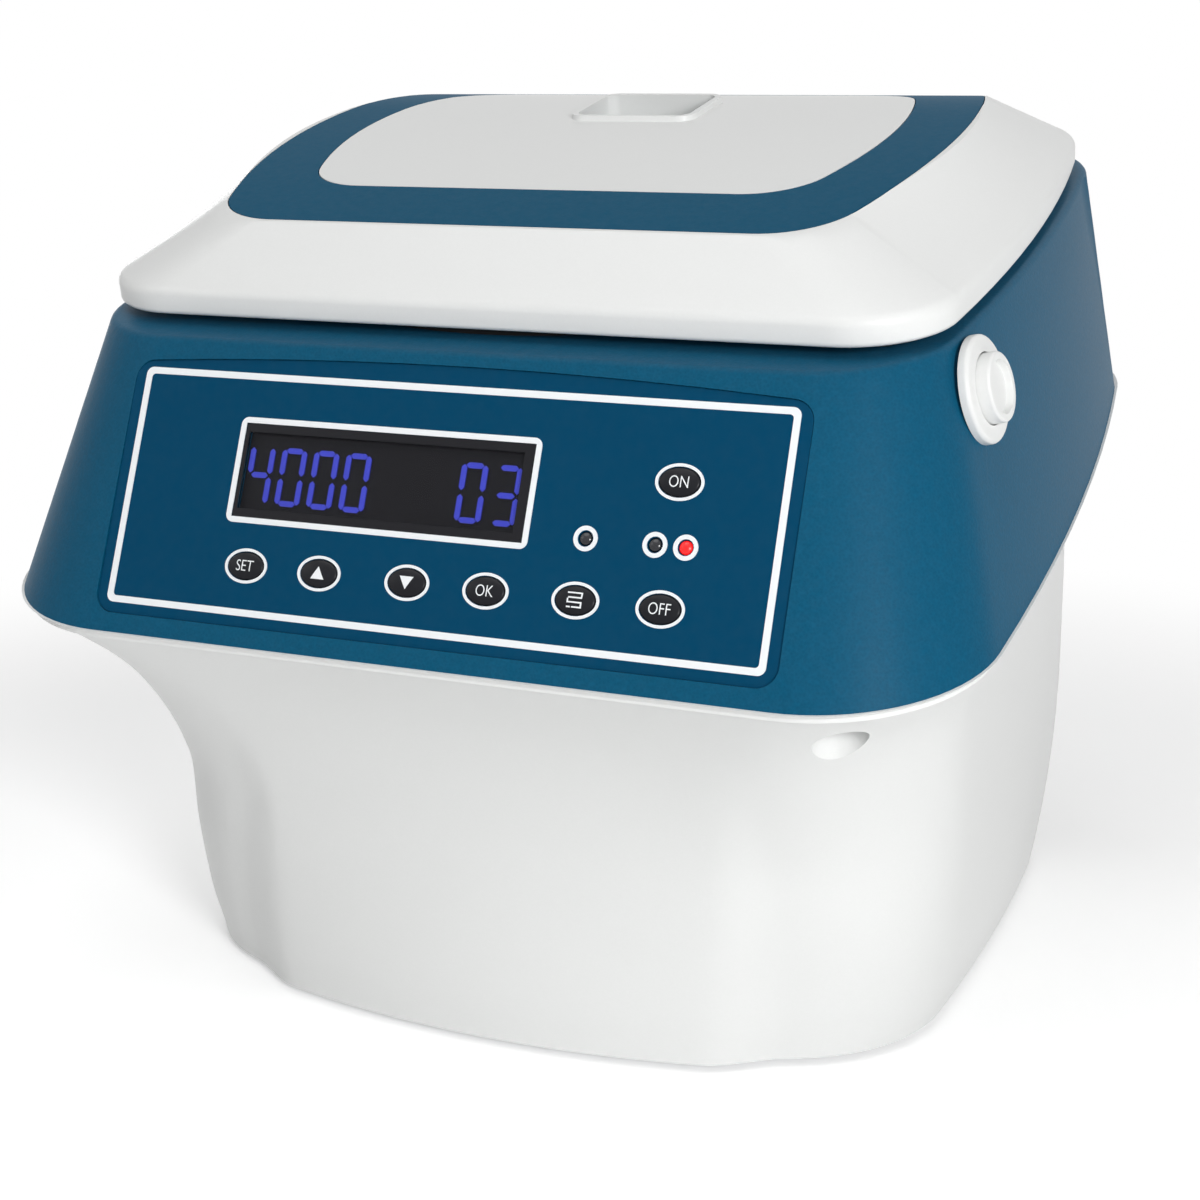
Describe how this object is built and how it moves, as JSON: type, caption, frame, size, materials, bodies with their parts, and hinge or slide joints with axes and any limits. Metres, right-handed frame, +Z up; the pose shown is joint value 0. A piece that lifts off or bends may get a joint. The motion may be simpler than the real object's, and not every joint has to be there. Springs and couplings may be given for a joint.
{
  "type": "microplate centrifuge",
  "caption": "Benchtop low-speed centrifuge: sloping keypad case, domed sight-window lid, side release button, and a swing-out rotor carrying two microplates.",
  "frame": {"origin": "on the table, under the middle of the case outline", "axes": "+X to the right of a user facing the control panel (the release button's side), -Y towards the user, +Z up"},
  "size_m": [0.4124, 0.3911, 0.3719],
  "materials": {
    "white_shell": "satin moulded, faint grain",
    "teal_shell": "satin moulded, leather grain",
    "panel_film": "satin film",
    "print_white": "printed",
    "display_glass": "smoked",
    "display_black": "matt",
    "digit_blue": "lit",
    "key_black": "gloss dome",
    "circuit_green": "solder mask",
    "lamp_dark": "unlit lens",
    "lamp_red": "lit lens",
    "zinc_plate": "zinc plated",
    "bright_steel": "ground",
    "stainless": "spun, brushed",
    "rotor_alloy": "bead blasted",
    "rubber_black": "matt",
    "liner_grey": "satin",
    "sight_clear": "polished clear plastic",
    "dark_plastic": "satin",
    "hinge_white": "powder coat",
    "motor_grey": "enamel",
    "supply_metal": "sheet",
    "contact_brass": "plated",
    "cable_black": "sheath"
  },
  "bodies": {
    "case": {"lower_case": "white_shell", "base_plate": "zinc_plate", "feet": "rubber_black", "base_screws": "bright_steel", "upper_case": "teal_shell", "panel_overlay": "panel_film", "panel_print": "print_white", "display_window": "display_glass", "display_module": "display_black", "display_digits": "digit_blue", "key_board": "circuit_green", "status_lights": "lamp_dark", "ready_light": "lamp_red", "release_bezel": "white_shell", "lock_bracket": "zinc_plate", "lock_pin": "bright_steel", "chamber_bowl": "stainless", "chamber_seal": "rubber_black", "motor_posts": "zinc_plate", "motor_dampers": "rubber_black", "motor_plate": "zinc_plate", "motor": "motor_grey", "shaft_boot": "rubber_black", "hinge_brackets": "hinge_white", "hinge_pins": "bright_steel", "mains_inlet": "dark_plastic", "inlet_pins": "contact_brass", "fuse_drawer": "dark_plastic", "switch_housing": "dark_plastic", "fan_frame": "dark_plastic", "power_supply": "supply_metal", "main_board": "circuit_green", "wiring": "cable_black"},
    "lid": {"lid_shell": "white_shell", "lid_ring": "teal_shell", "lid_window": "sight_clear", "lid_liner": "liner_grey", "liner_screws": "bright_steel", "lid_striker": "zinc_plate", "hinge_leaves": "hinge_white"},
    "rotor": {"drive_shaft": "bright_steel", "rotor_yoke": "rotor_alloy", "trunnions": "bright_steel"},
    "carrier_right": {"carrier_right": "rotor_alloy"},
    "carrier_left": {"carrier_left": "rotor_alloy"},
    "knob": {"rotor_knob": "dark_plastic"},
    "button": {"release_button": "white_shell"},
    "hook": {"latch_hook": "zinc_plate"},
    "rocker": {"switch_rocker": "dark_plastic"},
    "fan": {"fan_rotor": "dark_plastic"},
    "key_set": {"key_set": "key_black"},
    "key_up": {"key_up": "key_black"},
    "key_down": {"key_down": "key_black"},
    "key_ok": {"key_ok": "key_black"},
    "key_mode": {"key_mode": "key_black"},
    "key_off": {"key_off": "key_black"},
    "key_on": {"key_on": "key_black"}
  },
  "joints": [
    {"name": "lid_hinge", "type": "hinge", "parent": "case", "child": "lid", "pos_m": [0, 0.17901, 0.35703], "axis": [-1, 0, 0], "range_deg": [0, 80]},
    {"name": "rotor_spin", "type": "hinge", "parent": "case", "child": "rotor", "pos_m": [0, 0.018, 0.2], "axis": [0, 0, 1], "continuous": true},
    {"name": "carrier_right_swing", "type": "hinge", "parent": "rotor", "child": "carrier_right", "pos_m": [0.063, 0.018, 0.226], "axis": [0, -1, 0], "range_deg": [0, 90]},
    {"name": "carrier_left_swing", "type": "hinge", "parent": "rotor", "child": "carrier_left", "pos_m": [-0.063, 0.018, 0.226], "axis": [0, 1, 0], "range_deg": [0, 90]},
    {"name": "knob_turn", "type": "hinge", "parent": "rotor", "child": "knob", "pos_m": [0, 0.018, 0.244], "axis": [0, 0, 1], "range_deg": [0, 90]},
    {"name": "button_press", "type": "slide", "parent": "case", "child": "button", "axis": [-0.9649, 0.1356, -0.225], "range_m": [0, 0.005], "stiffness_N_per_m": 600, "springref_m": -0.003},
    {"name": "hook_swing", "type": "hinge", "parent": "case", "child": "hook", "pos_m": [0.142, -0.095, 0.236], "axis": [0, -1, 0], "range_deg": [0, 12]},
    {"name": "rocker_tilt", "type": "hinge", "parent": "case", "child": "rocker", "pos_m": [-0.078, 0.187, 0.108], "axis": [-1, 0, 0], "range_deg": [0, 16]},
    {"name": "fan_spin", "type": "hinge", "parent": "case", "child": "fan", "pos_m": [0.05, 0.175, 0.095], "axis": [0, 1, 0], "continuous": true},
    {"name": "key_set_press", "type": "slide", "parent": "case", "child": "key_set", "axis": [0, 0.9191, -0.394], "range_m": [0, 0.0004], "stiffness_N_per_m": 900, "springref_m": -0.0006},
    {"name": "key_up_press", "type": "slide", "parent": "case", "child": "key_up", "axis": [0, 0.9191, -0.394], "range_m": [0, 0.0004], "stiffness_N_per_m": 900, "springref_m": -0.0006},
    {"name": "key_down_press", "type": "slide", "parent": "case", "child": "key_down", "axis": [0, 0.9191, -0.394], "range_m": [0, 0.0004], "stiffness_N_per_m": 900, "springref_m": -0.0006},
    {"name": "key_ok_press", "type": "slide", "parent": "case", "child": "key_ok", "axis": [0, 0.9191, -0.394], "range_m": [0, 0.0004], "stiffness_N_per_m": 900, "springref_m": -0.0006},
    {"name": "key_mode_press", "type": "slide", "parent": "case", "child": "key_mode", "axis": [0, 0.9191, -0.394], "range_m": [0, 0.0004], "stiffness_N_per_m": 900, "springref_m": -0.0006},
    {"name": "key_off_press", "type": "slide", "parent": "case", "child": "key_off", "axis": [0, 0.9191, -0.394], "range_m": [0, 0.0004], "stiffness_N_per_m": 900, "springref_m": -0.0006},
    {"name": "key_on_press", "type": "slide", "parent": "case", "child": "key_on", "axis": [0, 0.9191, -0.394], "range_m": [0, 0.0004], "stiffness_N_per_m": 900, "springref_m": -0.0006}
  ],
  "couplings": [
    {"joint": "hook_swing", "follows": "button_press", "rad_per_m": 38.5}
  ]
}
